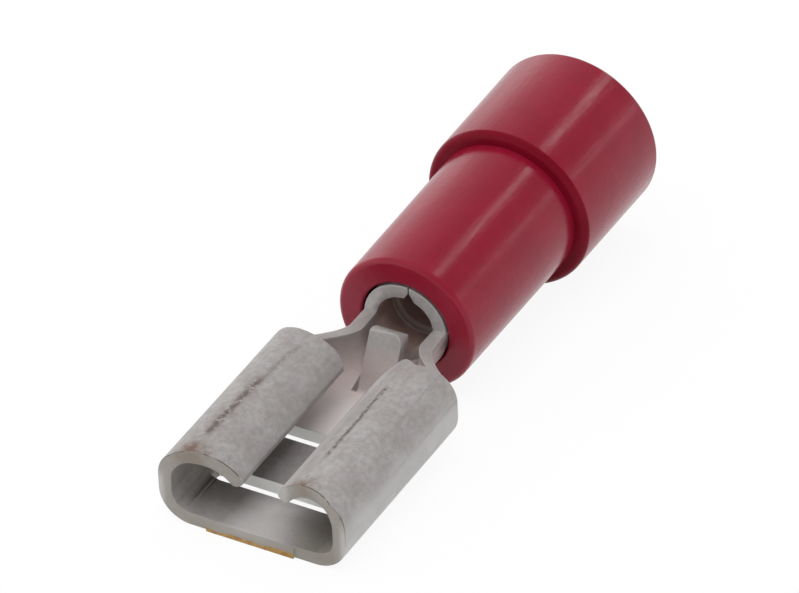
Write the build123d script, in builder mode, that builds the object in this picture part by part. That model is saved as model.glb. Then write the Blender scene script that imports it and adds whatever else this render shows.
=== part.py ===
from build123d import *
import math
import os

# Insulated female push-on terminal for 4.8 mm wide tabs.
# +X points out of the receptacle's mouth, +Z is up, the X axis is the axis of the wire barrel,
# and the origin lies where the barrel's front rim comes flush with the sleeve's front face.
# All sizes are millimetres.

# Sheet
sheet = 0.40                    # thickness of the tin-plated brass strip

# Wire barrel, rolled to a tube with its two ends butted at the top
barrel_bore = 1.76
barrel_length = 5.0
seam_gap = 0.04                 # butt joint between the rolled ends
seam_offset = 0.14              # the joint lies a little to +Y of the top
seam_notch_depth = 0.24         # V opened by the bend on the inside of the joint
seam_notch_width = 0.52
serration_count = 3
serration_pitch = 1.25
serration_first = 1.05          # centre of the first groove behind the front rim
serration_width = 0.30
serration_depth = 0.07

# Receptacle, folded from the same strip
mouth_x = 8.54                  # front edges of the side walls
rolls_rear_x = 2.28             # rear edges of the two rolls
receptacle_width = 5.74
floor_drop = 1.55               # underside of the floor below the barrel's axis
roll_top = 0.78                 # crown of the rolls above the barrel's axis
corner_radius = 0.95            # outside bend between floor and side wall
shoulder_radius = 0.90          # outside bend between side wall and roll
free_edge_y = 0.46              # free edges of the rolls, from the middle plane
roll_angle = 58.0               # how far the roll turns down from its crown
free_edge_rounding = 0.17       # burnished free edge of each roll
lead_in_depth = 0.54            # how far the rolls' front edges are cut back at the middle
lead_in_half_width = 2.45       # where that cut runs out on each side
toe_length = 0.30               # the roll on the +Y side runs on this far near its free edge
toe_root = 1.62                 # where that extra strip starts, from the middle plane
toe_tip = 1.18                  # and where its rear end stops
run_out_x = 3.70                # from here back its free edge curves away from the middle plane
run_out_y = 1.02                # and ends this far from it
rear_corner_radius = 0.46       # rounding of the free edge's rear corner on the -Y side

# Two slots across the floor
slot_width = 4.36               # across the floor
slot_offset = -0.08             # the slots sit a little to -Y
slot_length = 0.56              # along the terminal
front_slot_x = 6.66
rear_slot_x = 4.26
slot_corner = 0.12

# Remnant of the carrier strip, sheared off in front of the floor
cutoff_width = 2.70
cutoff_length = 0.08
cutoff_offset = -0.07
cutoff_land = 0.12              # height of the sheared face, below the rounded upper part

# Neck between barrel and receptacle
neck_straight = 0.70            # the barrel's lower half runs on this far before it flares
arm_top_at_barrel = 0.12        # upper edges of the arms, from the barrel's axis
arm_top_at_rolls = 0.02
neck_sections = 9

# Tongue lanced out of the neck's floor, which stops the tab and the wire strands
tongue_width = 1.02
tongue_root_x = 1.98            # where the bend starts in the floor
tongue_lean = 28.0              # degrees from upright, towards the barrel
tongue_bend = 0.20              # inside radius at the root
tongue_top = 0.46               # above the barrel's axis
tongue_corner = 0.30            # rounding of its top corner on the +Y side
tongue_small_corner = 0.14      # and on the -Y side
tongue_slant = 0.08             # the top edge rises by this much towards +Y
tongue_relief = 0.13            # width of the lanced gap beside the tongue
window_rear_x = 0.30            # rear end of the window that the tongue leaves

# Insulating sleeve
sleeve_length = 10.10
front_length = 5.85             # narrow section over the barrel
front_diameter = 4.20
front_diameter_at_step = 4.30
rear_diameter = 5.07
rear_diameter_at_end = 5.13
mouth_diameter = 2.68           # hole round the barrel's front rim
mouth_depth = 0.70
grip_clearance = 0.01           # sleeve to barrel
wire_entry_diameter = 3.90
wire_entry_depth = 3.85         # from there a cone leads down to the barrel's bore
front_edge_rounding = 0.16
step_edge_rounding = 0.22
rear_edge_rounding = 0.12
inner_edge_rounding = 0.08

# Sizes worked out from those above
barrel_inner_radius = barrel_bore / 2
barrel_outer_radius = barrel_inner_radius + sheet
lip_radius = barrel_outer_radius - sheet / 3
half_width = receptacle_width / 2
floor_top = sheet - floor_drop
above_floor = floor_top + sheet / 2
roll_radius = (half_width - shoulder_radius - free_edge_y) / math.sin(math.radians(roll_angle))


def channel(x, half, bottom, radius, top):
    """Thick U section of the folded strip, open upwards, at the given place along the terminal."""
    with BuildSketch(Plane.YZ.offset(x)) as section:
        with BuildLine():
            floor = Line((0, bottom), (half - radius, bottom))
            corner = JernArc(start=floor @ 1, tangent=floor % 1, radius=radius, arc_size=90)
            Line(corner @ 1, (half, top))
            offset(amount=sheet, side=Side.LEFT)
        make_face()
        mirror(about=Plane.YZ)
    return section.sketch


def rolled_section(x):
    """Section of the receptacle at the given place: floor, side walls and the two rolls."""
    with BuildSketch(Plane.YZ.offset(x)) as section:
        with BuildLine():
            floor = Line((0, -floor_drop), (half_width - corner_radius, -floor_drop))
            corner = JernArc(floor @ 1, floor % 1, corner_radius, 90)
            wall = Line(corner @ 1, (half_width, roll_top - shoulder_radius))
            shoulder = JernArc(wall @ 1, wall % 1, shoulder_radius, 90)
            JernArc(shoulder @ 1, shoulder % 1, roll_radius, roll_angle)
            offset(amount=sheet, side=Side.RIGHT)
        make_face()
        free_edge = section.vertices().sort_by_distance((0, 0))[:2]
        fillet(free_edge, free_edge_rounding)
        mirror(about=Plane.YZ)
    return section.sketch


def make_toe():
    """Short strip by which one roll runs on behind the rest of it, near its free edge."""
    rear_x = rolls_rear_x - toe_length
    with BuildPart() as toe:
        extrude(rolled_section(rear_x), amount=toe_length, dir=(1, 0, 0))
        with BuildSketch(Plane.XY.offset(above_floor)):
            with BuildLine():
                Polyline((rolls_rear_x, 0), (rolls_rear_x, toe_root), (rear_x, toe_tip), (rear_x, 0), close=True)
            make_face()
        extrude(amount=roll_top - above_floor, mode=Mode.INTERSECT)
    return toe.part


def make_receptacle():
    """Floor, side walls and the two rolls, with the slots, the lead-in and the cut-off remnant."""
    with BuildPart() as receptacle:
        extrude(rolled_section(rolls_rear_x), amount=mouth_x - rolls_rear_x, dir=(1, 0, 0))

        # Front edges of the rolls, swept back in one arc so that the tab finds its way in
        with BuildSketch(Plane.XY.offset(above_floor)):
            with BuildLine():
                left = (mouth_x, -lead_in_half_width)
                right = (mouth_x, lead_in_half_width)
                ThreePointArc(left, (mouth_x - lead_in_depth, 0), right)
                Line(left, right)
            make_face()
        extrude(amount=roll_top - above_floor, mode=Mode.SUBTRACT)

        # Rear corner of the free edge on the -Y side
        with BuildSketch(Plane.XY.offset(above_floor)):
            with BuildLine():
                arc_start = (rolls_rear_x, -free_edge_y - rear_corner_radius)
                arc_end = (rolls_rear_x + rear_corner_radius, -free_edge_y)
                TangentArc(arc_start, arc_end, tangent=(0, 1))
                Polyline(arc_end, (rolls_rear_x + rear_corner_radius, 0), (rolls_rear_x, 0), arc_start)
            make_face()
        extrude(amount=roll_top - above_floor, mode=Mode.SUBTRACT)

        # Slots through the floor and the start of its bends
        with BuildSketch(Plane.XY.offset(above_floor)):
            with Locations((front_slot_x, slot_offset), (rear_slot_x, slot_offset)):
                RectangleRounded(slot_length, slot_width, slot_corner)
        extrude(amount=-2 * sheet, mode=Mode.SUBTRACT)

        # Remnant of the carrier strip, sheared below and drawn round above
        with BuildSketch(Plane.XZ.offset(-cutoff_offset)):
            with BuildLine():
                sheared_x = mouth_x + cutoff_length
                land_top = cutoff_land - floor_drop
                Polyline((mouth_x, floor_top), (mouth_x, -floor_drop), (sheared_x, -floor_drop), (sheared_x, land_top))
                EllipticalCenterArc((mouth_x, land_top), cutoff_length, floor_top - land_top, 0, arc_size=90)
            make_face()
        extrude(amount=cutoff_width / 2, both=True)

        # Rear end of the +Y roll, whose free edge curves outwards to the toe
        add(make_toe())
        with BuildSketch(Plane.XY.offset(above_floor)):
            with BuildLine():
                arc_start = (run_out_x, free_edge_y)
                arc_end = (rolls_rear_x - toe_length, run_out_y)
                TangentArc(arc_start, arc_end, tangent=(-1, 0))
                Polyline(arc_end, (rolls_rear_x - toe_length, 0), (run_out_x, 0), arc_start)
            make_face()
        extrude(amount=roll_top - above_floor, mode=Mode.SUBTRACT)
    return receptacle.part


def make_neck():
    """Channel that widens from the barrel's lower half to the receptacle's floor and walls."""
    with BuildPart() as neck:
        for index in range(neck_sections):
            along = index / (neck_sections - 1)
            x = neck_straight + along * (rolls_rear_x - neck_straight)
            flare = (along ** 2 * (3 - 2 * along) + along ** 2) / 2
            half = barrel_outer_radius + flare * (half_width - barrel_outer_radius)
            bottom = -barrel_outer_radius - flare * (floor_drop - barrel_outer_radius)
            radius = lip_radius + flare * (corner_radius - lip_radius)
            top = arm_top_at_barrel + flare * (arm_top_at_rolls - arm_top_at_barrel)
            add(channel(x, half, bottom, radius, top))
        loft()
    return neck.part


def make_barrel():
    """Tube rolled from the strip, with the butt joint, its inner notch and the serrations."""
    with BuildPart() as barrel:
        with BuildSketch(Plane.YZ):
            Circle(barrel_outer_radius)
            Circle(barrel_inner_radius, mode=Mode.SUBTRACT)
        extrude(amount=-barrel_length)
        with BuildSketch(Plane.YZ) as joint:
            with Locations((seam_offset, barrel_outer_radius)):
                Rectangle(seam_gap, 2 * sheet)
            with BuildLine():
                Polyline(
                    (seam_offset - seam_notch_width / 2, barrel_inner_radius - sheet / 2),
                    (seam_offset + seam_notch_width / 2, barrel_inner_radius - sheet / 2),
                    (seam_offset, barrel_inner_radius + seam_notch_depth),
                    close=True,
                )
            make_face()
        extrude(amount=-barrel_length, mode=Mode.SUBTRACT)
        with BuildSketch(Plane.XZ):
            for index in range(serration_count):
                centre = -serration_first - index * serration_pitch
                with BuildLine():
                    Polyline(
                        (centre - serration_width / 2, barrel_inner_radius),
                        (centre, barrel_inner_radius + serration_depth),
                        (centre + serration_width / 2, barrel_inner_radius),
                        (centre, barrel_inner_radius - serration_depth),
                        close=True,
                    )
                make_face()
        revolve(axis=Axis.X, mode=Mode.SUBTRACT)
    return barrel.part


def make_barrel_lip():
    """Straight lower half of the tube that runs on in front of the barrel's rim."""
    with BuildPart() as lip:
        section = channel(0, barrel_outer_radius, -barrel_outer_radius, lip_radius, arm_top_at_barrel)
        extrude(section, amount=neck_straight, dir=(1, 0, 0))
    return lip.part


def make_tongue():
    """Strip lanced from the neck's floor and bent up towards the barrel."""
    with BuildPart() as tongue:
        with BuildSketch(Plane.XZ):
            with BuildLine():
                root = Line((tongue_root_x + sheet, floor_top), (tongue_root_x, floor_top))
                bend = JernArc(root @ 1, root % 1, tongue_bend, tongue_lean - 90)
                rise = (tongue_top - (bend @ 1).Y) / math.cos(math.radians(tongue_lean))
                PolarLine(bend @ 1, rise, direction=bend % 1)
                offset(amount=sheet, side=Side.LEFT)
            make_face()
        extrude(amount=tongue_width / 2, both=True)
        # Front outline of the blade, with its two unlike top corners
        with BuildSketch(Plane.YZ) as outline:
            with BuildLine():
                side = tongue_width / 2
                Polyline(
                    (-side, -floor_drop),
                    (side, -floor_drop),
                    (side, tongue_top),
                    (-side, tongue_top - tongue_slant),
                    close=True,
                )
            make_face()
            corners = outline.vertices()
            fillet(corners.sort_by_distance((side, tongue_top))[0], tongue_corner)
            fillet(corners.sort_by_distance((-side, tongue_top))[0], tongue_small_corner)
        extrude(amount=tongue_root_x + sheet, mode=Mode.INTERSECT)
    return tongue.part


def make_sleeve():
    """Stepped sleeve, turned about the terminal's axis, with a funnel for the wire."""
    front_radius = front_diameter / 2
    mouth_radius = mouth_diameter / 2
    grip_radius = barrel_outer_radius + grip_clearance
    entry_radius = wire_entry_diameter / 2
    entry_end = wire_entry_depth - sleeve_length
    with BuildPart() as sleeve:
        with BuildSketch(Plane.XZ) as profile:
            with BuildLine():
                Polyline(
                    (0, mouth_radius),
                    (0, front_radius),
                    (-front_length, front_diameter_at_step / 2),
                    (-front_length, rear_diameter / 2),
                    (-sleeve_length, rear_diameter_at_end / 2),
                    (-sleeve_length, entry_radius),
                    (entry_end, entry_radius),
                    (-barrel_length, barrel_inner_radius),
                    (-barrel_length, grip_radius),
                    (-mouth_depth, grip_radius),
                    (-mouth_depth, mouth_radius),
                    close=True,
                )
            make_face()
            corners = profile.vertices()
            fillet(corners.sort_by_distance((0, front_radius))[0], front_edge_rounding)
            fillet(corners.sort_by_distance((0, mouth_radius))[0], inner_edge_rounding)
            step = corners.sort_by_distance((-front_length, rear_diameter / 2))[0]
            fillet(step, step_edge_rounding)
            end = corners.sort_by_distance((-sleeve_length, rear_diameter_at_end / 2))[0]
            fillet(end, rear_edge_rounding)
            entry = corners.sort_by_distance((-sleeve_length, entry_radius))[0]
            fillet(entry, inner_edge_rounding)
        revolve(axis=Axis.X)
    return sleeve.part


with BuildPart() as terminal:
    add(make_receptacle())
    add(make_neck())
    add(make_barrel_lip())
    # Window that the lanced tongue leaves in the neck's floor
    window_length = tongue_root_x - window_rear_x
    with BuildSketch(Plane.XY.offset(-floor_drop - sheet)):
        with Locations((window_rear_x, 0)):
            window_width = tongue_width + 2 * tongue_relief
            Rectangle(window_length, window_width, align=(Align.MIN, Align.CENTER))
    extrude(amount=2 * sheet + floor_drop / 2, mode=Mode.SUBTRACT)
    add(make_tongue())
    add(make_barrel())

with BuildPart() as insulating_sleeve:
    add(make_sleeve())

terminal.part.label = "terminal"
insulating_sleeve.part.label = "insulating_sleeve"

os.makedirs("parts", exist_ok=True)
export_step(terminal.part, "parts/terminal.step")
export_step(insulating_sleeve.part, "parts/insulating_sleeve.step")
for piece in (terminal, insulating_sleeve):
    box = piece.part.bounding_box()
    print(piece.part.label, "solids", len(piece.part.solids()), "volume", round(piece.part.volume, 3))
    print("  from", [round(v, 3) for v in box.min], "to", [round(v, 3) for v in box.max])
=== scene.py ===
# %% [markdown]
# # An insulated push-on terminal
# The object is two pieces: a tin-plated brass strip, folded into a receptacle, a neck and a wire barrel,
# and a stepped red sleeve pressed over the barrel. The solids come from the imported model, in metres.
# They fix every size, and this file gives the two pieces their finish, their light and the camera.

# %% Load the fixed frame
import bpy
import bmesh
import math
from mathutils import Matrix, Vector


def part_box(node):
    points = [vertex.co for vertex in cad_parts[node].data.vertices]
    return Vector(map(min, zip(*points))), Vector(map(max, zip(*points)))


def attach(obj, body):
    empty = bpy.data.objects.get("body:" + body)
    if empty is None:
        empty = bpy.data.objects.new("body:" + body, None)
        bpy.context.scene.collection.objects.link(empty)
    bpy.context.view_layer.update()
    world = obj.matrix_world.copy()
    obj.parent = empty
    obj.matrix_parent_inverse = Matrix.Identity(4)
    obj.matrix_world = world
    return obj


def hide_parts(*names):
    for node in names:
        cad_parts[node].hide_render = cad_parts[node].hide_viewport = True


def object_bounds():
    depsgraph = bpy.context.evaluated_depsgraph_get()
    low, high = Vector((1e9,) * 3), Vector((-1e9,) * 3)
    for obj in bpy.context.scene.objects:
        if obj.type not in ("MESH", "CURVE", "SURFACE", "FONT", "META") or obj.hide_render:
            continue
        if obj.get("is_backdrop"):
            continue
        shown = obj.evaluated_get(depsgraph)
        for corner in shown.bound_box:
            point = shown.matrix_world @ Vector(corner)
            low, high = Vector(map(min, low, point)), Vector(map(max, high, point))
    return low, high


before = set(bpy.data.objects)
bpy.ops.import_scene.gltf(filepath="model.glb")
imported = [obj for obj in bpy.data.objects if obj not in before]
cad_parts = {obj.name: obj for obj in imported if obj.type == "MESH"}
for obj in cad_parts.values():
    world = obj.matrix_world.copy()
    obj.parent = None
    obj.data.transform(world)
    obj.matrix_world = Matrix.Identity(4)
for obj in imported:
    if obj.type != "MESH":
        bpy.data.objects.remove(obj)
cad_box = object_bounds()
terminal_low, terminal_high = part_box("terminal")
sleeve_low, sleeve_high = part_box("insulating_sleeve")
mm = 0.001
print("strip spans", [round(v / mm, 2) for v in (*terminal_low, *terminal_high)])
print("sleeve spans", [round(v / mm, 2) for v in (*sleeve_low, *sleeve_high)])

# %% [markdown]
# ## Small helpers
# Every finish is a node tree: boxes that each do one small sum, joined by links.
# It could be drawn by hand in the Shader Editor. Written out, the same tree can be read and repeated.
# The first helpers add a node, set its inputs by name and feed a link or a plain value into a socket.

# %% Node helpers
def add_node(tree, kind, name, **values):
    node = tree.nodes.new(kind)
    node.name = node.label = name
    for key, value in values.items():
        setattr(node, key, value)
    return node


def set_inputs(node, **values):
    for key, value in values.items():
        node.inputs[key.replace("_", " ")].default_value = value


def feed(tree, socket, value):
    """Link a socket's source, or write a plain value into it."""
    if isinstance(value, bpy.types.NodeSocket):
        tree.links.new(value, socket)
    else:
        socket.default_value = value


print("helpers for single nodes ready")

# %% [markdown]
# The next helpers are the sums that every finish is made of: a plain sum, a product of several masks,
# a colour laid over another by a mask, and a smooth step, which turns a place or a noise into a mask.

# %% Sums, masks and colours
def math_node(tree, name, operation, first, second=0.0, clamp=False):
    node = add_node(tree, "ShaderNodeMath", name, operation=operation, use_clamp=clamp)
    feed(tree, node.inputs[0], first)
    feed(tree, node.inputs[1], second)
    return node.outputs[0]


def product(tree, name, first, *factors):
    """Product of masks and plain values, with a node for each factor after the first."""
    for factor in factors:
        first = math_node(tree, name, "MULTIPLY", first, factor)
    return first


def mix_colour(tree, name, amount, under, over):
    node = add_node(tree, "ShaderNodeMix", name, data_type="RGBA")
    feed(tree, node.inputs[0], amount)
    feed(tree, node.inputs[6], under)
    feed(tree, node.inputs[7], over)
    return node.outputs[2]


def remap(tree, name, value, low, high, to_low=0.0, to_high=1.0):
    """Smooth step of a value between two limits."""
    node = add_node(tree, "ShaderNodeMapRange", name, interpolation_type="SMOOTHSTEP")
    for socket, source in zip(node.inputs[:5], (value, low, high, to_low, to_high)):
        feed(tree, socket, source)
    return node.outputs[0]


print("helpers for sums ready")

# %% [markdown]
# A node group is a tree of its own with named sockets, so that one effect can be used in several materials,
# each time with other values.

# %% Materials and node groups
FLOAT, VECTOR = "NodeSocketFloat", "NodeSocketVector"


def new_material(name):
    material = bpy.data.materials.new(name)
    material.use_nodes = True
    material.node_tree.nodes.clear()
    return material


def new_group(name, inputs, outputs, kind="ShaderNodeTree"):
    """Empty node group with named sockets; returns the tree, its input node and its output node."""
    tree = bpy.data.node_groups.new(name, kind)
    for socket_name, socket_kind, default in inputs:
        socket = tree.interface.new_socket(socket_name, in_out="INPUT", socket_type=socket_kind)
        if default is not None:
            socket.default_value = default
    for socket_name, socket_kind in outputs:
        tree.interface.new_socket(socket_name, in_out="OUTPUT", socket_type=socket_kind)
    return tree, add_node(tree, "NodeGroupInput", "sizes in"), add_node(tree, "NodeGroupOutput", "result")


def use_group(tree, group, name, **values):
    node = add_node(tree, "ShaderNodeGroup", name, node_tree=group)
    for key, value in values.items():
        feed(tree, node.inputs[key.replace("_", " ")], value)
    return node.outputs[0]


print("helpers for materials and groups ready, with sockets of the kinds", FLOAT, "and", VECTOR)

# %% [markdown]
# ## Mottle and grain
# The tin is matte and cloudy, in patches of 0.2 to 0.9 mm, as tumbling with other parts leaves it,
# with a grain of some hundredths. The sleeve has clouds and grain too, only weaker, from its mould.
# A photograph of metal could be projected on, but it would stretch round the folds.
# Noise in the object's own space is the same from all sides, so both effects are groups of noise,
# with their sizes in millimetres as inputs.

# %% Mottle
mottle_group, sizes, result = new_group(
    "mottle", [("Place", VECTOR, None), ("Patch Size", FLOAT, 0.6), ("Detail", FLOAT, 4.0)],
    [("Mask", FLOAT)])
per_patch = math_node(mottle_group, "patches per mm", "DIVIDE", 1.0, sizes.outputs["Patch Size"])
cloud = add_node(mottle_group, "ShaderNodeTexNoise", "clouds")
set_inputs(cloud, Roughness=0.62, Distortion=0.35)
mottle_group.links.new(sizes.outputs["Place"], cloud.inputs["Vector"])
mottle_group.links.new(sizes.outputs["Detail"], cloud.inputs["Detail"])
mottle_group.links.new(per_patch, cloud.inputs["Scale"])
contrast = remap(mottle_group, "contrast", cloud.outputs["Fac"], 0.30, 0.70)
mottle_group.links.new(contrast, result.inputs["Mask"])
print("mottle has", len(mottle_group.nodes), "nodes")

# %% Grain
grain_group, sizes, result = new_group(
    "grain", [("Place", VECTOR, None), ("Grain Size", FLOAT, 0.05)], [("Mask", FLOAT)])
per_grain = math_node(grain_group, "grains per mm", "DIVIDE", 1.0, sizes.outputs["Grain Size"])
speckle = add_node(grain_group, "ShaderNodeTexNoise", "speckle")
set_inputs(speckle, Detail=2.0, Roughness=0.7)
grain_group.links.new(sizes.outputs["Place"], speckle.inputs["Vector"])
grain_group.links.new(per_grain, speckle.inputs["Scale"])
contrast = remap(grain_group, "contrast", speckle.outputs["Fac"], 0.25, 0.75)
grain_group.links.new(contrast, result.inputs["Mask"])
print("grain has", len(grain_group.nodes), "nodes")

# %% [markdown]
# ## Scuffs and stains
# Each roll has a dark broken line of pits along its crown, most likely from rubbing on its neighbours in the
# bag, and the left one has a second, fainter one. The front ends of the rolls have small brown stains,
# as where the plating is worn down to the brass.
# They could be painted on a UV map. A track given by its place and width, broken up by noise,
# needs no unwrapping, and the same group draws each of them with its own values.

# %% Scuffed track along the strip
track_group, sizes, result = new_group("scuffed_track", [
    ("Place", VECTOR, None), ("Middle", FLOAT, 0.0), ("Lean", FLOAT, 0.0), ("From", FLOAT, 0.0),
    ("To", FLOAT, 1.0), ("Width", FLOAT, 0.1), ("Waver", FLOAT, 0.1)], [("Mask", FLOAT)])
parts = add_node(track_group, "ShaderNodeSeparateXYZ", "along and across")
track_group.links.new(sizes.outputs["Place"], parts.inputs[0])
waver = add_node(track_group, "ShaderNodeTexNoise", "waver")
set_inputs(waver, Scale=2.6, Detail=3.0, Roughness=0.6)
track_group.links.new(sizes.outputs["Place"], waver.inputs["Vector"])
swing = math_node(track_group, "swing", "SUBTRACT", waver.outputs["Fac"], 0.5)
swing = math_node(track_group, "swing in mm", "MULTIPLY", swing, sizes.outputs["Waver"])
run = math_node(track_group, "run", "MULTIPLY", parts.outputs["X"], sizes.outputs["Lean"])
line = math_node(track_group, "line", "ADD", run, sizes.outputs["Middle"])
line = math_node(track_group, "wavering line", "ADD", line, swing)
off_line = math_node(track_group, "off the line", "SUBTRACT", parts.outputs["Y"], line)
off_line = math_node(track_group, "distance", "ABSOLUTE", off_line)
near = remap(track_group, "near the line", off_line, sizes.outputs["Width"], 0.0)
past_start = math_node(track_group, "past start", "SUBTRACT", parts.outputs["X"], sizes.outputs["From"])
before_end = math_node(track_group, "before end", "SUBTRACT", sizes.outputs["To"], parts.outputs["X"])
span = math_node(track_group, "span", "MINIMUM", past_start, before_end)
inside = remap(track_group, "inside the span", span, 0.0, 0.35)
pits = add_node(track_group, "ShaderNodeTexNoise", "pits")
set_inputs(pits, Scale=4.6, Detail=4.0, Roughness=0.7)
track_group.links.new(sizes.outputs["Place"], pits.inputs["Vector"])
broken = remap(track_group, "broken up", pits.outputs["Fac"], 0.40, 0.53)
marks = math_node(track_group, "marks", "MULTIPLY", near, inside)
marks = math_node(track_group, "broken marks", "MULTIPLY", marks, broken, clamp=True)
track_group.links.new(marks, result.inputs["Mask"])
print("scuffed track has", len(track_group.nodes), "nodes")

# %% Stain round a point
stain_group, sizes, result = new_group("stain", [
    ("Place", VECTOR, None), ("Centre", VECTOR, None), ("Reach", FLOAT, 0.4), ("Raggedness", FLOAT, 0.5)],
    [("Mask", FLOAT)])
apart = add_node(stain_group, "ShaderNodeVectorMath", "distance", operation="DISTANCE")
stain_group.links.new(sizes.outputs["Place"], apart.inputs[0])
stain_group.links.new(sizes.outputs["Centre"], apart.inputs[1])
ragged = add_node(stain_group, "ShaderNodeTexNoise", "ragged rim")
set_inputs(ragged, Scale=4.5, Detail=4.0, Roughness=0.7)
stain_group.links.new(sizes.outputs["Place"], ragged.inputs["Vector"])
frayed = math_node(stain_group, "fray", "SUBTRACT", ragged.outputs["Fac"], 0.5)
frayed = math_node(stain_group, "fray in mm", "MULTIPLY", frayed, sizes.outputs["Raggedness"])
rim = math_node(stain_group, "frayed distance", "ADD", apart.outputs["Value"], frayed)
stain_group.links.new(remap(stain_group, "fade", rim, sizes.outputs["Reach"], 0.0), result.inputs["Mask"])
print("stain has", len(stain_group.nodes), "nodes")

# %% [markdown]
# ## The folded strip
# On the real part the strip's edges are slightly round, because the shears are worn and the part is tumbled.
# A perfectly sharp edge never catches light, so the copy of the solid gets a small bevel.
# The triangles are merged and the flat ones dissolved first, because a bevel needs clean faces.
# Each sharp edge carries a weight of one, but for three places where edges run together so closely that
# a bevel would fold over itself: the wedge where the neck runs into the barrel, the inside of the rolls'
# rear ends and the ends of the slots. There the weight is nought.
# The bevel marks its own faces, and the finish uses that mark where the plating is rubbed.
# Each corner's shading direction is averaged by area, so the large flat faces stay flat beside thin bevels.

# %% Places on the strip
edge_round = 0.035 * mm
merge_reach = 0.02 * mm
flat_angle = math.radians(0.4)
sharp_angle = math.radians(50)
roll_front_x, roll_side_z, roll_inner_y = 7.6 * mm, -0.4 * mm, 0.62 * mm
bend_y, bend_z = 1.97 * mm, -0.12 * mm


def at_roll_front(spot):
    """Whether a place is on the front end of a roll, outside its free edge."""
    return spot.x > roll_front_x and spot.z > roll_side_z and abs(spot.y) > roll_inner_y


def left_sharp(spot):
    """Whether an edge with its middle at this place gets no bevel."""
    x, y, z = spot.x / mm, abs(spot.y) / mm, spot.z / mm
    in_wedge = abs(x) < 0.05 and z < 0.2
    at_roll_rear = 2.2 < x < 2.4 and y > 2.3
    at_slot_end = 3.3 < x < 7.6 and y > 2.0 and z < -0.95
    return in_wedge or at_roll_rear or at_slot_end


def outwards(spot):
    """Direction from the inside of a roll to its outside, at a place on it."""
    sideways = math.copysign(max(0.0, abs(spot.y) - bend_y), spot.y)
    return Vector((0, sideways, max(spot.z - bend_z, 0.1 * mm))).normalized()


print("edges are rounded by", round(edge_round / mm, 3), "mm where they turn by more than",
      round(math.degrees(sharp_angle)), "degrees")

# %% Copy of the strip, with a weight on each sharp edge
strip = bpy.data.objects.new("folded_strip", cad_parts["terminal"].data.copy())
bpy.context.scene.collection.objects.link(strip)
shape = bmesh.new()
shape.from_mesh(strip.data)
bmesh.ops.remove_doubles(shape, verts=shape.verts, dist=merge_reach)
bmesh.ops.dissolve_limit(
    shape, angle_limit=flat_angle, verts=shape.verts, edges=shape.edges, use_dissolve_boundaries=False)
weight = shape.edges.layers.float.new("bevel_weight_edge")
for edge in shape.edges:
    middle = (edge.verts[0].co + edge.verts[1].co) / 2
    if edge.calc_face_angle(0) > sharp_angle and not left_sharp(middle):
        edge[weight] = 1.0
print("edges", len(shape.edges), "of them rounded", sum(edge[weight] > 0 for edge in shape.edges))
shape.to_mesh(strip.data)
shape.free()

# %% Round the weighted edges
def plain_mesh(item):
    """The object's shape with its modifiers worked in, as a mesh of its own."""
    return bpy.data.meshes.new_from_object(item.evaluated_get(bpy.context.evaluated_depsgraph_get()))


strip.data.materials.clear()
for slot_name in ("strip_face", "strip_edge"):
    strip.data.materials.append(new_material(slot_name))
bevel = strip.modifiers.new("rounded_edges", "BEVEL")
bevel.width = edge_round
bevel.segments = 2
bevel.limit_method = "WEIGHT"
bevel.offset_type = "WIDTH"
bevel.loop_slide = False
bevel.use_clamp_overlap = False
bevel.material = 1
mesh = plain_mesh(strip)
strip.modifiers.clear()
strip.data = mesh
print("faces with the edges rounded:", len(mesh.polygons))

# %% Mark the bevelled faces, the rolls' outer front rims, the slots' walls and the cut front faces
sheet_thickness = 0.40 * mm
floor_top_z = terminal_low.z + sheet_thickness
slot_faces_x = (3.5 * mm, 7.3 * mm)
rim_facing, wall_facing, front_facing = 0.25, 0.6, 0.8
marks = {"edge": [], "rim": [], "slot_wall": [], "front_cut": []}
for face in mesh.polygons:
    centre, normal, on_bevel = face.center, face.normal, face.material_index == 1
    is_rim = on_bevel and at_roll_front(centre) and normal.dot(outwards(centre)) > rim_facing
    in_floor = centre.z < floor_top_z and slot_faces_x[0] < centre.x < slot_faces_x[1]
    is_slot_wall = in_floor and abs(normal.x) > wall_facing
    is_front_cut = centre.x > roll_front_x and normal.x > front_facing
    for name, is_marked in zip(marks, (on_bevel, is_rim, is_slot_wall, is_front_cut)):
        marks[name] += [float(is_marked)] * len(face.loop_indices)
    face.material_index = 0
print("marked corners:", {name: int(sum(values)) for name, values in marks.items()})

# %% Even shading, and the strip's place in the part
for name, values in marks.items():
    mesh.attributes.new(name, "FLOAT", "CORNER").data.foreach_set("value", values)
mesh.shade_smooth()
mesh.set_sharp_from_angle(angle=sharp_angle)
even = strip.modifiers.new("even_shading", "WEIGHTED_NORMAL")
even.mode, even.weight, even.keep_sharp = "FACE_AREA", 100, True
mesh = plain_mesh(strip)
strip.modifiers.clear()
strip.data = mesh
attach(strip, "root")
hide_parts("terminal")
print("strip has", len(mesh.polygons), "faces")

# %% [markdown]
# ## Finish of the strip
# The plating is one dull grey skin over brass. Inside the neck it is painted a lighter pinkish brown, as
# painted light and a painted reflection of the red sleeve, and down the barrel it is nearly black-brown.
# The brass shows only where the carrier strip was sheared off after plating. One material with masks keeps
# the plating's grain running on through all of these, where separate materials would meet in hard lines.

# %% Tin: the plain plating
def place_in_mm(tree):
    """The piece's own coordinates, in millimetres."""
    place_node = add_node(tree, "ShaderNodeTexCoord", "place")
    in_mm = add_node(tree, "ShaderNodeVectorMath", "place in mm", operation="SCALE")
    in_mm.inputs["Scale"].default_value = 1 / mm
    tree.links.new(place_node.outputs["Object"], in_mm.inputs[0])
    return in_mm.outputs["Vector"]


tin = new_material("tin_plating")
tree = tin.node_tree
place = place_in_mm(tree)
spot = add_node(tree, "ShaderNodeSeparateXYZ", "x y z in mm")
tree.links.new(place, spot.inputs[0])
along, across, height = spot.outputs["X"], spot.outputs["Y"], spot.outputs["Z"]

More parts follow.
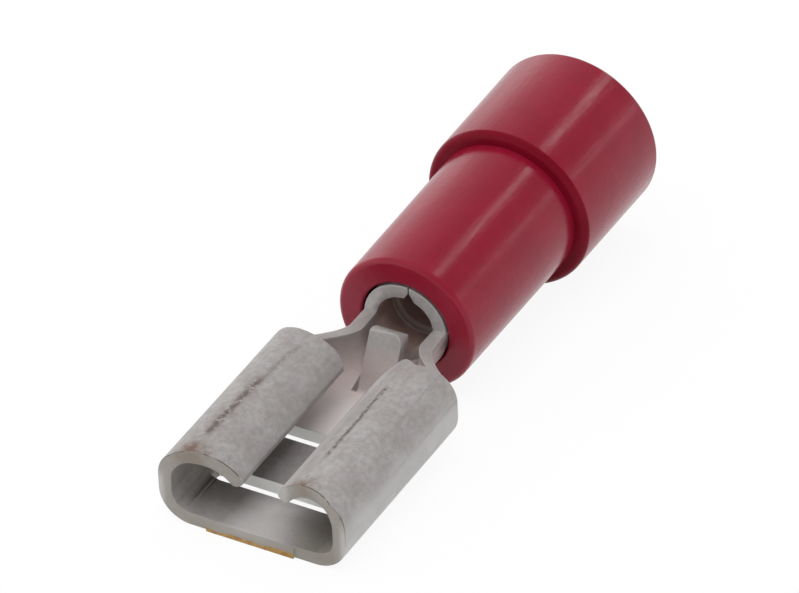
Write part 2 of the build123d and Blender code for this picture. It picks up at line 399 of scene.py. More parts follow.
patches = use_group(tree, mottle_group, "cloudy patches", Place=place, Patch_Size=0.9, Detail=4.0)
fine_patches = use_group(tree, mottle_group, "small patches", Place=place, Patch_Size=0.18, Detail=4.0)
grain = use_group(tree, grain_group, "plating grain", Place=place, Grain_Size=0.055)
colour = mix_colour(tree, "clouds", patches, (0.392, 0.356, 0.357, 1), (0.458, 0.434, 0.436, 1))
tints = use_group(tree, mottle_group, "greenish patches", Place=place, Patch_Size=0.42, Detail=2.0)
tint_amount = math_node(tree, "greenish amount", "MULTIPLY", tints, 0.38)
colour = mix_colour(tree, "greenish clouds", tint_amount, colour, (0.385, 0.392, 0.360, 1))
speck_share = remap(tree, "more on the rolls", height, 0.1, 0.45, 0.28, 0.52)
speck_amount = math_node(tree, "small patch amount", "MULTIPLY", fine_patches, speck_share)
colour = mix_colour(tree, "small clouds", speck_amount, colour, (0.262, 0.242, 0.230, 1))
grain_amount = math_node(tree, "grain amount", "MULTIPLY", grain, 0.12)
colour = mix_colour(tree, "grain", grain_amount, colour, (0.25, 0.23, 0.22, 1))
print("plating colour uses", len(tree.nodes), "nodes")

# %% Tin: scuffs and haze on the rolls
tracks = [
    ("left crown", dict(Middle=-1.645, Lean=-0.039, From=4.5, To=7.6, Width=0.16, Waver=0.18), 0.8),
    ("left crown, faint", dict(Middle=-1.27, Lean=-0.119, From=2.8, To=5.0, Width=0.11, Waver=0.30), 0.4),
    ("right crown", dict(Middle=1.34, Lean=0.0, From=3.2, To=7.0, Width=0.12, Waver=0.16), 0.9),
]
scuffs = 0.0
for name, values, strength in tracks:
    track = use_group(tree, track_group, name, Place=place, **values)
    track = math_node(tree, name + " strength", "MULTIPLY", track, strength)
    scuffs = math_node(tree, name + " added", "MAXIMUM", track, scuffs)
on_top = remap(tree, "only on the rolls", height, 0.1, 0.3)
haze = use_group(
    tree, track_group, "brown haze", Place=place,
    Middle=-1.645, Lean=-0.039, From=4.3, To=7.9, Width=0.42, Waver=0.3)
haze = product(tree, "haze on top", haze, on_top, 0.28)
colour = mix_colour(tree, "hazy", haze, colour, (0.22, 0.165, 0.140, 1))
scuffs = math_node(tree, "scuffs on top", "MULTIPLY", scuffs, on_top)
colour = mix_colour(tree, "scuffed", scuffs, colour, (0.105, 0.075, 0.062, 1))
print("scuffed tracks:", [name for name, values, strength in tracks])

# %% Tin: stains at the rolls' front ends
stains = [
    ("left front stain", dict(Centre=(8.28, -1.95, 0.62), Reach=0.66, Raggedness=0.9)),
    ("right front stain", dict(Centre=(8.16, 1.42, 0.52), Reach=0.62, Raggedness=0.9)),
]
for name, values in stains:
    stain = use_group(tree, stain_group, name, Place=place, **values)
    colour = mix_colour(tree, name + " colour", stain, colour, (0.175, 0.105, 0.068, 1))
print("stains:", [name for name, values in stains])

# %% Tin: rubbed edges, and painted shade on the front rims
rubbed = add_node(tree, "ShaderNodeAttribute", "bevelled faces", attribute_name="edge")
rubbed_amount = math_node(tree, "rubbed in places", "MULTIPLY", rubbed.outputs["Fac"], fine_patches)
colour = mix_colour(tree, "rubbed edges", rubbed_amount, colour, (0.50, 0.48, 0.46, 1))
# The outer front rims of the rolls are painted dark: painted shade along their rounded edge.
rim = add_node(tree, "ShaderNodeAttribute", "outer front rims", attribute_name="rim")
rim_breaks = remap(tree, "rim breaks", tints, 0.05, 0.45, 0.35, 1.0)
rim_shade_amount = math_node(tree, "rim in places", "MULTIPLY", rim.outputs["Fac"], rim_breaks)
colour = mix_colour(tree, "rims painted dark as shade", rim_shade_amount, colour, (0.085, 0.068, 0.055, 1))
print("with the edges:", len(tree.nodes), "nodes")

# %% [markdown]
# ## Worn, tarnished and painted places of the strip
# Down the barrel the plating is tarnished. Shade is painted darker between the walls, in the neck's root and
# on the cut front faces;
# light is painted lighter on the floor near the mouth, on the free edge and on the slots' walls; the outsides
# of the walls are lighter low down.
# These places could be painted on a UV map, or be materials of their own on chosen faces.
# Here most are products of smooth steps along X, across Y and up Z, in millimetres, so that their edges fade.
# The cut front faces and the slots' walls carry a mark on the mesh. Each colour goes over the ones before it.
# The plate, the neck, the free edge and the slots' walls carry lighter colours than the rolls, to reach
# the photograph's brightness in places where this light falls short of it.

# %% Mask of the inside of the folded sheet
# Light grey for painted light: on the floor near the mouth and on the right free edge.
painted_light_grey = (0.62, 0.60, 0.59, 1)
off_middle = math_node(tree, "off the middle", "ABSOLUTE", across)
inner_height = remap(tree, "below the rolls", height, 0.25, -0.55)
inner_width = remap(tree, "between the walls", off_middle, 2.62, 2.44)
neck_rise = remap(tree, "rise of the neck", along, 2.28, 0.70, 0.0, 0.27)
less_rise = math_node(tree, "less the rise", "SUBTRACT", height, neck_rise)
above_sheet = remap(tree, "above the sheet's underside", less_rise, -1.45, -1.25)
inner = product(tree, "inside", inner_height, inner_width, above_sheet)
print("with the inside:", len(tree.nodes), "nodes")

# %% Painted shade in the corners, painted light on the floor, and cut front faces painted darker as shade
# Inside the front part, towards the walls and most towards the right, the floor is painted darker: painted
# shade under the rolls.
front_part = remap(tree, "front part", along, 3.9, 4.8)
to_left = remap(tree, "towards the left wall", across, -0.5, -1.9, 0.0, 0.3)
to_right = remap(tree, "towards the right wall", across, 0.8, 1.7, 0.0, 1.0)
to_walls = math_node(tree, "to the walls", "ADD", to_left, to_right)
shade_by_walls = product(tree, "painted shade, front corners", inner, front_part, to_walls)
colour = mix_colour(tree, "painted shade inside", shade_by_walls, colour, (0.25, 0.235, 0.205, 1))
# In the middle of the floor near the mouth a lighter grey is painted, as the light that falls between the
# rolls.
near_middle = remap(tree, "near the middle", off_middle, 1.1, 0.3, 0.0, 0.6)
near_mouth = remap(tree, "near the mouth", along, 6.8, 7.4)
painted_light_on_floor = product(tree, "painted pool of light", near_middle, near_mouth, inner)
colour = mix_colour(tree, "painted light on the floor", painted_light_on_floor, colour, painted_light_grey)
# The cut front faces are painted darker, in a slightly greenish grey, as painted shade.
front_cut = add_node(tree, "ShaderNodeAttribute", "cut front faces", attribute_name="front_cut")
cut_face_shade = math_node(tree, "shade on cut faces", "MULTIPLY", front_cut.outputs["Fac"], 0.70)
colour = mix_colour(tree, "cut faces painted darker", cut_face_shade, colour, (0.275, 0.250, 0.215, 1))
print("with the mouth:", len(tree.nodes), "nodes")

# %% Painted light on the plate between the rolls and in the neck
# The plate between the rolls is painted near white: painted light falling between the rolls.
plate_end = remap(tree, "plate end", along, 4.1, 3.9)
plate_start = remap(tree, "plate start", along, 1.4, 2.4)
plate_height = remap(tree, "plate height", height, -0.6, -0.9)
painted_light_on_plate = product(tree, "on the plate", inner, plate_end, plate_start, plate_height)
colour = mix_colour(tree, "painted light on the plate", painted_light_on_plate, colour, (0.90, 0.85, 0.84, 1))
# Inside the neck a lighter pinkish brown is painted, for light and for the red sleeve's reflection.
painted_light_in_neck = product(tree, "in the neck", remap(tree, "neck front", along, 2.9, 1.9), inner, 0.65)
colour = mix_colour(tree, "painted light and reflection in the neck", painted_light_in_neck, colour, (0.64, 0.52, 0.50, 1))
print("with the neck:", len(tree.nodes), "nodes")

# %% Painted highlight on the free edge, lighter low walls, and painted light on the slot walls
# Along the right roll's free edge a lighter grey is painted as a highlight.
near_edge = remap(tree, "towards the right free edge", across, 1.02, 0.72)
right_half = remap(tree, "right half", across, 0.1, 0.3)
lip_height = remap(tree, "lip height", height, -0.5, -0.2)
roll_rear = remap(tree, "roll rear", along, 1.8, 2.2)
painted_highlight_on_lip = product(tree, "on the lip", near_edge, right_half, lip_height, roll_rear, 0.45)
colour = mix_colour(tree, "painted highlight on the lip", painted_highlight_on_lip, colour, painted_light_grey)
# Low on the outsides of the walls the colour is lighter.
outside = remap(tree, "outside of the walls", off_middle, 2.62, 2.80, 0.0, 0.45)
on_walls = product(tree, "low on the walls", outside, remap(tree, "wall height", height, 0.3, -0.4))
colour = mix_colour(tree, "lighter low on the walls", on_walls, colour, (0.66, 0.66, 0.65, 1))
# The slots' walls are painted near white, as painted light from the white floor below.
slot_walls = add_node(tree, "ShaderNodeAttribute", "slot walls", attribute_name="slot_wall")
colour = mix_colour(tree, "painted light on the slot walls", slot_walls.outputs["Fac"], colour, (0.86, 0.86, 0.84, 1))
print("with the rubbed places:", len(tree.nodes), "nodes")

# %% Painted shadow in the neck's root, and the barrel's bore
bore_limit, root_widening = 0.96, 0.22
first_groove, groove_width = -1.05, 0.30
across_squared = math_node(tree, "across squared", "MULTIPLY", across, across)
height_squared = math_node(tree, "height squared", "MULTIPLY", height, height)
axis_squared = math_node(tree, "from axis squared", "ADD", across_squared, height_squared)
from_axis = math_node(tree, "from axis", "SQRT", axis_squared)
root_limit = remap(tree, "widening of the neck", along, 0.0, 1.3, bore_limit, bore_limit + root_widening)
off_limit = math_node(tree, "inside the neck's root", "SUBTRACT", root_limit, from_axis)
well_inside = remap(tree, "well inside", off_limit, 0.0, 0.05)
first_part = remap(tree, "neck's first part", along, 1.15, 0.25, 0.0, 0.8)
# The neck's first part, inside, is painted dark brown as shadow.
painted_shadow_in_root = product(tree, "dark root of the neck", well_inside, inner_height, first_part)
colour = mix_colour(tree, "painted shadow in the neck's root", painted_shadow_in_root, colour, (0.200, 0.150, 0.130, 1))
# The edges of the first groove in the bore are painted lighter as a highlight.
from_groove = math_node(tree, "from the groove", "SUBTRACT", along, first_groove)
off_groove = math_node(tree, "off the first groove", "ABSOLUTE", from_groove)
groove_edge_highlight = remap(
    tree, "edges of the first groove", off_groove, groove_width * 0.62, groove_width * 0.45, 0.0, 0.75)
bore_colour = mix_colour(tree, "bore colour", groove_edge_highlight, (0.430, 0.300, 0.265, 1), (0.80, 0.70, 0.64, 1))
down_bore = remap(tree, "inside the bore", axis_squared, bore_limit ** 2, (bore_limit - 0.05) ** 2)
in_bore = product(tree, "tarnish", down_bore, remap(tree, "behind the rim", along, 0.10, -0.25))
colour = mix_colour(tree, "tarnished bore", in_bore, colour, bore_colour)
print("with the bore:", len(tree.nodes), "nodes")

# %% Bare brass on the sheared land
sheared_x = terminal_high.x / mm
land_height = 0.16
land_top = terminal_low.z / mm + land_height
ragged_land = math_node(tree, "ragged land", "MULTIPLY", patches, 0.10)
ragged_land = math_node(tree, "land height", "ADD", height, ragged_land)
on_land = remap(tree, "on the sheared land", ragged_land, land_top + 0.07, land_top + 0.01)
at_front = remap(tree, "at the sheared front", along, sheared_x - 0.035, sheared_x - 0.015)
bare = math_node(tree, "bare brass", "MULTIPLY", on_land, at_front)
brass = mix_colour(tree, "brass clouds", fine_patches, (0.29, 0.160, 0.040, 1), (0.46, 0.285, 0.090, 1))
colour = mix_colour(tree, "with bare brass", bare, colour, brass)
print("tin material has", len(tree.nodes), "nodes")

# %% Tin: surface relief and shader
def show_surface(tree, source, kind="ShaderNodeOutputMaterial"):
    """Link a finished shader to the tree's output."""
    tree.links.new(source, add_node(tree, kind, "surface").inputs["Surface"])


grain_relief = math_node(tree, "grain relief", "MULTIPLY", grain, 0.35)
cloud_relief = math_node(tree, "cloud relief", "MULTIPLY", fine_patches, 0.65)
pit_relief = math_node(tree, "pit relief", "MULTIPLY", scuffs, 2.0)
relief = math_node(tree, "with clouds", "ADD", grain_relief, cloud_relief)
relief = math_node(tree, "with pits", "SUBTRACT", relief, pit_relief)
bump = add_node(tree, "ShaderNodeBump", "plating relief")
set_inputs(bump, Strength=0.5, Distance=0.012 * mm)
tree.links.new(relief, bump.inputs["Height"])
roughness = remap(tree, "roughness", patches, 0.0, 1.0, 0.62, 0.54)
shader = add_node(tree, "ShaderNodeBsdfPrincipled", "plated sheet")
set_inputs(shader, Metallic=0.30)
tree.links.new(colour, shader.inputs["Base Color"])
tree.links.new(roughness, shader.inputs["Roughness"])
tree.links.new(bump.outputs["Normal"], shader.inputs["Normal"])
show_surface(tree, shader.outputs["BSDF"])
strip.data.materials.clear()
strip.data.materials.append(tin)
print("strip finished")

# %% [markdown]
# ## The sleeve
# The sleeve is moulded in soft plastic round a core pin, so it is a profile turned about the terminal's axis:
# a narrow front over the barrel, a step, and a wider rear that takes the wire's insulation.
# It could be spun by hand or carried over from the solid. A node tree is used here,
# because the shape follows a rule: its corners are placed by named sizes, each is rounded by its own radius,
# and one closed line swept round a circle gives an even mesh with no seam.

# %% Sizes of the sleeve
sleeve_sizes = {
    "Length": 10.10, "Front Length": 5.85, "Front Radius": 2.10, "Front Radius At Step": 2.15,
    "Rear Radius": 2.535, "Rear Radius At End": 2.565, "Mouth Radius": 1.34, "Mouth Depth": 0.70,
    "Grip Radius": 1.29, "Barrel Length": 5.0, "Barrel Bore": 0.88,
    "Entry Radius": 1.95, "Entry Depth": 3.85, "Front Rounding": 0.16, "Step Rounding": 0.22,
    "Root Rounding": 0.0, "Rear Rounding": 0.12, "Inner Rounding": 0.08,
}
around_steps, rounding_steps = 192, 8
print("sleeve sizes given:", len(sleeve_sizes))

# %% Profile corners
turned_group, sizes, result = new_group(
    "turned_sleeve",
    [(name, FLOAT, value) for name, value in sleeve_sizes.items()] + [
        ("Around", "NodeSocketInt", around_steps), ("Rounding Steps", "NodeSocketInt", rounding_steps),
        ("Finish", "NodeSocketMaterial", None)],
    [("Geometry", "NodeSocketGeometry")], kind="GeometryNodeTree")


def size(name):
    return sizes.outputs[name]


def behind(name, depth):
    """Place along the axis, measured back from the front face."""
    return math_node(turned_group, name, "MULTIPLY", depth, -1.0)


rear_end = behind("rear end", size("Length"))
step_end = behind("step", size("Front Length"))
barrel_end = behind("barrel end", size("Barrel Length"))
mouth_end = behind("mouth end", size("Mouth Depth"))
entry_end = math_node(turned_group, "entry end", "ADD", rear_end, size("Entry Depth"))
profile_corners = [
    (0.0, size("Mouth Radius"), size("Inner Rounding")),
    (0.0, size("Front Radius"), size("Front Rounding")),
    (step_end, size("Front Radius At Step"), size("Root Rounding")),
    (step_end, size("Rear Radius"), size("Step Rounding")),
    (rear_end, size("Rear Radius At End"), size("Rear Rounding")),
    (rear_end, size("Entry Radius"), size("Inner Rounding")),
    (entry_end, size("Entry Radius"), 0.0),
    (barrel_end, size("Barrel Bore"), 0.0),
    (barrel_end, size("Grip Radius"), 0.0),
    (mouth_end, size("Grip Radius"), 0.0),
    (mouth_end, size("Mouth Radius"), 0.0),
]
print("profile has", len(profile_corners), "corners")

# %% Each corner's place and rounding, by its number
turn_radius = 1.0
index = add_node(turned_group, "GeometryNodeInputIndex", "corner number")
corner_place = add_node(turned_group, "GeometryNodeIndexSwitch", "corner places", data_type="VECTOR")
corner_round = add_node(turned_group, "GeometryNodeIndexSwitch", "corner roundings", data_type="FLOAT")
for switch in (corner_place, corner_round):
    while len(switch.index_switch_items) < len(profile_corners):
        switch.index_switch_items.new()
    turned_group.links.new(index.outputs[0], switch.inputs["Index"])
for number, (place_along, radius, rounding) in enumerate(profile_corners):
    point = add_node(turned_group, "ShaderNodeCombineXYZ", "corner " + str(number))
    outward = math_node(turned_group, "radius " + str(number), "SUBTRACT", radius, turn_radius)
    feed(turned_group, point.inputs["X"], outward)
    feed(turned_group, point.inputs["Y"], place_along)
    turned_group.links.new(point.outputs[0], corner_place.inputs[str(number)])
    feed(turned_group, corner_round.inputs[str(number)], rounding)
print("places and roundings ready for", number + 1, "corners")

# %% Closed profile line, swept round a circle
points = add_node(turned_group, "GeometryNodePoints", "corners")
set_inputs(points, Count=len(profile_corners))
turned_group.links.new(corner_place.outputs[0], points.inputs["Position"])
outline = add_node(turned_group, "GeometryNodePointsToCurves", "outline")
turned_group.links.new(points.outputs[0], outline.inputs["Points"])
closed = add_node(turned_group, "GeometryNodeSetSplineCyclic", "closed outline")
set_inputs(closed, Cyclic=True)
turned_group.links.new(outline.outputs[0], closed.inputs["Geometry"])
rounded = add_node(turned_group, "GeometryNodeFilletCurve", "rounded corners")
rounded.mode = "POLY"
turned_group.links.new(closed.outputs[0], rounded.inputs["Curve"])
turned_group.links.new(corner_round.outputs[0], rounded.inputs["Radius"])
turned_group.links.new(size("Rounding Steps"), rounded.inputs["Count"])
circle = add_node(turned_group, "GeometryNodeCurvePrimitiveCircle", "turn", mode="RADIUS")
set_inputs(circle, Radius=turn_radius)
turned_group.links.new(size("Around"), circle.inputs["Resolution"])
swept = add_node(turned_group, "GeometryNodeCurveToMesh", "swept profile")
turned_group.links.new(circle.outputs[0], swept.inputs["Curve"])
turned_group.links.new(rounded.outputs[0], swept.inputs["Profile Curve"])
print("profile line ready,", around_steps, "steps round the axis")

# %% Lay it along the axis and give it its finish
laid = add_node(turned_group, "GeometryNodeTransform", "laid along the axis")
set_inputs(laid, Rotation=(0.0, math.radians(-90), 0.0), Scale=(mm, mm, mm))
turned_group.links.new(swept.outputs[0], laid.inputs["Geometry"])
smooth = add_node(turned_group, "GeometryNodeSetShadeSmooth", "smooth")
turned_group.links.new(laid.outputs[0], smooth.inputs["Geometry"])
real = add_node(turned_group, "GeometryNodeRealizeInstances", "made real")
turned_group.links.new(smooth.outputs[0], real.inputs["Geometry"])
finish = add_node(turned_group, "GeometryNodeSetMaterial", "finish")
turned_group.links.new(real.outputs[0], finish.inputs["Geometry"])
turned_group.links.new(size("Finish"), finish.inputs["Material"])
turned_group.links.new(finish.outputs[0], result.inputs["Geometry"])
print("sleeve tree has", len(turned_group.nodes), "nodes")

# %% [markdown]
# ## Finish of the sleeve
# The sleeve is dyed right through and comes glossy out of the mould, with a very slight orange peel
# and faint lines along its length, from being drawn out of the mould. The dye is a deep crimson.
# The face of the step has less gloss, and its red is painted darker as shade.
# A flat colour with one gloss value would look like paint on glass, so the gloss and the relief vary
# a little, and the mottle and grain of the strip are used again, softer.

# %% Red vinyl
red = new_material("red_vinyl")
tree = red.node_tree
place = place_in_mm(tree)
clouds = use_group(tree, mottle_group, "dye clouds", Place=place, Patch_Size=1.6, Detail=3.0)
peel = use_group(tree, mottle_group, "orange peel", Place=place, Patch_Size=0.34, Detail=1.0)
grain = use_group(tree, grain_group, "mould grain", Place=place, Grain_Size=0.05)
drawn = add_node(tree, "ShaderNodeMapping", "drawn out along X")
set_inputs(drawn, Scale=(0.10, 1.0, 1.0))
tree.links.new(place, drawn.inputs["Vector"])
draw_lines = use_group(tree, mottle_group, "draw lines", Place=drawn.outputs[0], Patch_Size=0.28, Detail=3.0)
colour = mix_colour(tree, "clouded red", clouds, (0.235, 0.0050, 0.022, 1), (0.268, 0.0070, 0.027, 1))
speck = math_node(tree, "speck amount", "MULTIPLY", grain, 0.10)
colour = mix_colour(tree, "speckled red", speck, colour, (0.33, 0.020, 0.050, 1))
peel_relief = math_node(tree, "peel relief", "MULTIPLY", peel, 0.5)
grain_relief = math_node(tree, "grain relief", "MULTIPLY", grain, 0.12)
line_relief = math_node(tree, "line relief", "MULTIPLY", draw_lines, 0.5)
relief = math_node(tree, "with grain", "ADD", peel_relief, grain_relief)
relief = math_node(tree, "with lines", "ADD", relief, line_relief)
bump = add_node(tree, "ShaderNodeBump", "mould relief")
set_inputs(bump, Strength=0.35, Distance=0.012 * mm)
tree.links.new(relief, bump.inputs["Height"])
shader = add_node(tree, "ShaderNodeBsdfPrincipled", "vinyl")
set_inputs(shader, IOR=1.45, Specular_IOR_Level=0.35)
tree.links.new(colour, shader.inputs["Base Color"])
tree.links.new(remap(tree, "gloss", draw_lines, 0.0, 1.0, 0.19, 0.25), shader.inputs["Roughness"])
tree.links.new(bump.outputs["Normal"], shader.inputs["Normal"])
show_surface(tree, shader.outputs["BSDF"])
print("vinyl has", len(tree.nodes), "nodes")

# %% The same vinyl on the face of the step, with its red painted darker as shade
red_step_shaded = red.copy()
red_step_shaded.name = "red_vinyl_step_painted_shade"
step_nodes = red_step_shaded.node_tree.nodes
# The step's reds are darker than the rest of the sleeve: painted shade.
clouded, speckled = step_nodes["clouded red"], step_nodes["speckled red"]
clouded.inputs[6].default_value = (0.165, 0.0030, 0.013, 1)
clouded.inputs[7].default_value = (0.190, 0.0042, 0.016, 1)
speckled.inputs[7].default_value = (0.230, 0.0100, 0.028, 1)
set_inputs(step_nodes["vinyl"], Specular_IOR_Level=0.08)
print("materials of the sleeve:", red.name, red_step_shaded.name)

# %% Turn the sleeve
weld_reach = 0.0005 * mm
crease_angle = math.radians(30)
sleeve = bpy.data.objects.new("sleeve_shell", bpy.data.meshes.new("sleeve_shell"))
bpy.context.scene.collection.objects.link(sleeve)
turning = sleeve.modifiers.new("turning", "NODES")
turning.node_group = turned_group
tree_inputs = [item for item in turned_group.interface.items_tree if item.in_out == "INPUT"]
socket_ids = {item.name: item.identifier for item in tree_inputs}
for name, value in sleeve_sizes.items():
    turning[socket_ids[name]] = value
turning[socket_ids["Around"]] = around_steps
turning[socket_ids["Rounding Steps"]] = rounding_steps
turning[socket_ids["Finish"]] = red
mesh = plain_mesh(sleeve)
sleeve.modifiers.clear()
sleeve.data = mesh
shape = bmesh.new()
shape.from_mesh(mesh)
bmesh.ops.remove_doubles(shape, verts=shape.verts, dist=weld_reach)
bmesh.ops.recalc_face_normals(shape, faces=shape.faces)
print("sleeve holds", round(shape.calc_volume(signed=True) / mm ** 3, 2), "mm3 in", len(shape.faces), "faces")
shape.to_mesh(mesh)
shape.free()
mesh.set_sharp_from_angle(angle=crease_angle)

# %% Give the step its own vinyl, and the sleeve its place
mesh.materials.append(red_step_shaded)
rounded_share, before_step, off_corner = 0.75, 0.02 * mm, 0.005 * mm
step_x, root_radius = -sleeve_sizes["Front Length"] * mm, sleeve_sizes["Front Radius At Step"] * mm
step_end_x = step_x - rounded_share * sleeve_sizes["Step Rounding"] * mm
for face in mesh.polygons:
    centre = face.center
    off_root = math.hypot(centre.y, centre.z) - root_radius
    if step_end_x < centre.x < step_x + before_step and off_root > off_corner:
        face.material_index = len(mesh.materials) - 1
print("faces on the step:", sum(face.material_index > 0 for face in mesh.polygons))
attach(sleeve, "root")
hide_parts("insulating_sleeve")
for axis, name in enumerate("xyz"):
    values = [vertex.co[axis] / mm for vertex in mesh.vertices]
    print("sleeve", name, round(min(values), 3), round(max(values), 3))

# %% [markdown]
# ## The floor
# Unheld, the terminal lies on the lower front edge of its receptacle and on the edge of its sleeve's step:
# the heavy strip pulls the nose down, and the rear rim stays just clear. The plane that it lies on leans
# by a few degrees against its own frame. The frame stays, so the floor leans.
# The paper is white. Camera and mirror rays see it mostly as plain white, with a little of its real shading
# mixed in, which keeps the faint shadow under the object without any more light on the object.

# %% Leaning white floor
hair = 0.002 * mm
touch_front = Vector((terminal_high.x, 0, terminal_low.z - hair))
step_back = (sleeve_sizes["Front Length"] + sleeve_sizes["Step Rounding"]) * mm
touch_rear = Vector((-step_back, 0, -sleeve_sizes["Rear Radius"] * mm - hair))
slope = (touch_front.z - touch_rear.z) / (touch_front.x - touch_rear.x)
reach = 600 * mm
ends = ((-reach, -reach), (reach, -reach), (reach, reach), (-reach, reach))
floor_mesh = bpy.data.meshes.new("floor")
floor_corners = [(x, y, touch_rear.z + slope * (x - touch_rear.x)) for x, y in ends]
floor_mesh.from_pydata(floor_corners, [], [(0, 1, 2, 3)])
floor = bpy.data.objects.new("floor", floor_mesh)
bpy.context.scene.collection.objects.link(floor)
floor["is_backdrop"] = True
print("floor leans", round(math.degrees(math.atan(slope)), 2), "degrees")

# %% White paper
paper = new_material("paper")
tree = paper.node_tree
diffuse = add_node(tree, "ShaderNodeBsdfDiffuse", "paper")
set_inputs(diffuse, Color=(0.93, 0.93, 0.93, 1))
plain_white = add_node(tree, "ShaderNodeEmission", "plain white")
set_inputs(plain_white, Color=(1, 1, 1, 1), Strength=1.0)
rays = add_node(tree, "ShaderNodeLightPath", "rays")
camera_ray, mirror_ray, glass_ray = (
    rays.outputs[name] for name in ("Is Camera Ray", "Is Glossy Ray", "Is Transmission Ray"))
seen = math_node(tree, "camera or mirror", "ADD", camera_ray, mirror_ray)
seen = math_node(tree, "or through glass", "ADD", seen, glass_ray, clamp=True)
plain_share = 0.92
share = math_node(tree, "share of plain white", "MULTIPLY", seen, plain_share)
blend = add_node(tree, "ShaderNodeMixShader", "seen white")
tree.links.new(share, blend.inputs["Fac"])
tree.links.new(diffuse.outputs["BSDF"], blend.inputs[1])
tree.links.new(plain_white.outputs["Emission"], blend.inputs[2])
show_surface(tree, blend.outputs["Shader"])
floor_mesh.materials.append(paper)
print("paper has", len(tree.nodes), "nodes")

# %% [markdown]
# ## Light
# The object seems to have stood in a white tent: an even light from all round, less of it from above
# and more from the left. The tent could be built of white sheets.
# A world with three levels does the same, with no sheet in the way of other views.

# %% World
world = bpy.data.worlds.new("tent")
bpy.context.scene.world = world
world.use_nodes = True
tree = world.node_tree
tree.nodes.clear()
direction = add_node(tree, "ShaderNodeTexCoord", "direction")
parts = add_node(tree, "ShaderNodeSeparateXYZ", "up")
tree.links.new(direction.outputs["Generated"], parts.inputs[0])
wall_level, ceiling_level, left_wall_level = 0.88, 0.40, 0.55
ceiling = remap(tree, "from wall to ceiling", parts.outputs["Z"], 0.10, 0.60, wall_level, ceiling_level)
left_wall = remap(tree, "left wall", parts.outputs["Y"], -0.70, 0.25, left_wall_level, 0.0)
tent = math_node(tree, "ceiling and left wall", "ADD", ceiling, left_wall)
rays = add_node(tree, "ShaderNodeLightPath", "rays")
not_camera = math_node(tree, "not the camera", "SUBTRACT", 1.0, rays.outputs["Is Camera Ray"])
tent = math_node(tree, "light of the tent", "MULTIPLY", tent, not_camera)
brightness = math_node(tree, "white for the camera", "ADD", tent, rays.outputs["Is Camera Ray"])
background = add_node(tree, "ShaderNodeBackground", "tent")
set_inputs(background, Color=(1, 1, 1, 1))
tree.links.new(brightness, background.inputs["Strength"])
show_surface(tree, background.outputs[0], "ShaderNodeOutputWorld")
bpy.context.scene.view_settings.view_transform = "Standard"
print("world ready")

# %% [markdown]
# ## Camera
# A camera could be set by eye. This one was fitted to the object's outline in the photograph, which gave its
# direction, height, roll, distance and lens, so none of them is a round number.

# %% Camera
camera_azimuth = 120.342
camera_elevation = 36.977
camera_roll = -2.544
camera_distance = 218.73 * mm
camera_aim = Vector((-0.345, -0.334, 0.619)) * mm
lens_mm = 360.45
a, e = math.radians(camera_azimuth), math.radians(camera_elevation)
towards = Vector((math.sin(a) * math.cos(e), -math.cos(a) * math.cos(e), math.sin(e)))
camera_data = bpy.data.cameras.new("camera")
camera_data.lens = lens_mm
camera_data.sensor_width = 36
camera_data.clip_start = 10 * mm
camera_data.clip_end = 2000 * mm
camera = bpy.data.objects.new("camera", camera_data)
bpy.context.scene.collection.objects.link(camera)
camera.rotation_mode = "QUATERNION"
camera.location = camera_aim + towards * camera_distance
level = (-towards).to_track_quat("-Z", "Y").to_matrix()
camera.rotation_quaternion = (level @ Matrix.Rotation(math.radians(camera_roll), 3, "Z")).to_quaternion()
bpy.context.scene.camera = camera
print("camera at", [round(v / mm, 1) for v in camera.location])

# %% [markdown]
# ## Lines of light on the sleeve
# The photograph's sleeve shows one narrow bright line along its length, and a weaker, broader one beside it.
# A long narrow lamp draws each of them. The lamps could be pushed about until the lines fit,
# but a lamp's place follows from the place of its reflection: the surface's normal there
# lies half way between the direction to the camera and the direction to the lamp.

# %% Lamps by their reflection on the sleeve
facing = Vector((0, towards.y, towards.z)).normalized()
sideways = Vector((1, 0, 0)).cross(facing)


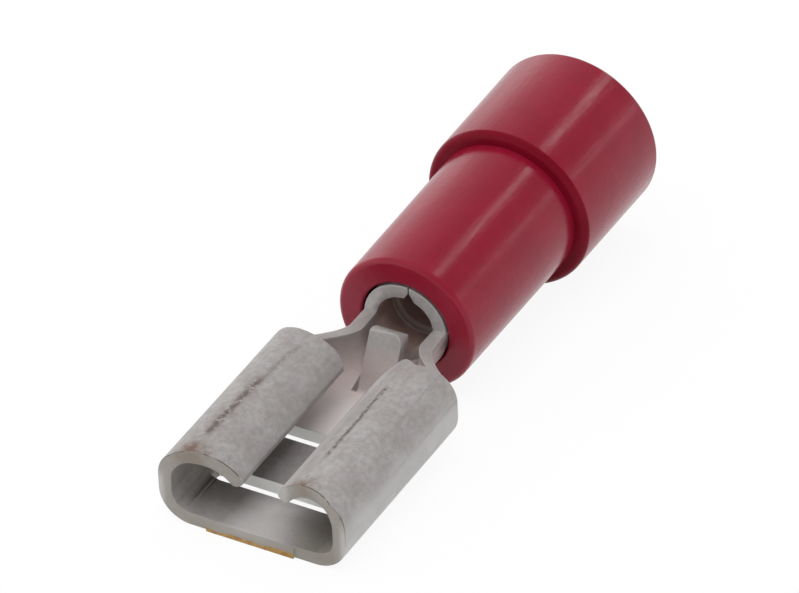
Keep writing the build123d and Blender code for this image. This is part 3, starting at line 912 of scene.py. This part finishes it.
def lamp(name, across_sleeve, distance, width, length, radiance):
    """Area lamp with its reflection along the sleeve, at a share of its radius off the middle (- is left)."""
    tilt = math.asin(across_sleeve)
    normal = facing * math.cos(tilt) - sideways * math.sin(tilt)
    toward_lamp = 2 * normal.dot(towards) * normal - towards
    data = bpy.data.lights.new(name, "AREA")
    data.shape = "RECTANGLE"
    data.size = width
    data.size_y = length
    data.energy = radiance * math.pi * width * length
    item = bpy.data.objects.new(name, data)
    bpy.context.scene.collection.objects.link(item)
    item.location = toward_lamp * distance
    axis_z = toward_lamp
    axis_x = normal.cross(Vector((1, 0, 0))).normalized()
    axis_x = (axis_x - axis_x.dot(axis_z) * axis_z).normalized()
    axis_y = axis_z.cross(axis_x)
    item.rotation_mode = "QUATERNION"
    item.rotation_quaternion = Matrix((axis_x, axis_y, axis_z)).transposed().to_quaternion()
    print(name, "at", [round(v / mm) for v in item.location])


lamp_distance = 320 * mm
lamp("strip_lamp", -0.13, lamp_distance, 9 * mm, 190 * mm, 13.0)
lamp("slim_lamp", 0.29, lamp_distance, 22 * mm, 150 * mm, 1.6)

# %% [markdown]
# ## Soft panel
# A broad panel nearly overhead fills the mouth of the receptacle. The photograph's sleeve shows no reflection
# of it, so mirror rays don't see it: it lights the surfaces and leaves no mark in their gloss.

# %% Soft panel overhead
panel_size, panel_distance, panel_radiance = 300 * mm, 400 * mm, 2.6
panel_direction = Vector((0.12, 0.02, 0.99)).normalized()
panel_data = bpy.data.lights.new("front_panel", "AREA")
panel_data.shape = "SQUARE"
panel_data.size = panel_size
panel_data.energy = panel_radiance * math.pi * panel_size ** 2
front_panel = bpy.data.objects.new("front_panel", panel_data)
bpy.context.scene.collection.objects.link(front_panel)
front_panel.location = panel_direction * panel_distance
front_panel.visible_glossy = False
front_panel.rotation_mode = "QUATERNION"
front_panel.rotation_quaternion = (-panel_direction).to_track_quat("-Z", "Y")
print("front panel at", [round(v / mm) for v in front_panel.location])

# %% [markdown]
# ## Sizes
# The finish fixes no size, so the dressed part should fill the solids' box but for some thousandths of
# a millimetre. Both boxes are gathered in one table, and the dressed part's box is printed.

# %% Boxes of the solids and of the dressed part
low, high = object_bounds()
sizes = {"cad": [list(cad_box[0]), list(cad_box[1])], "visual": [list(low), list(high)]}
print("visual box in mm", [round(v / mm, 3) for v in (*low, *high)])
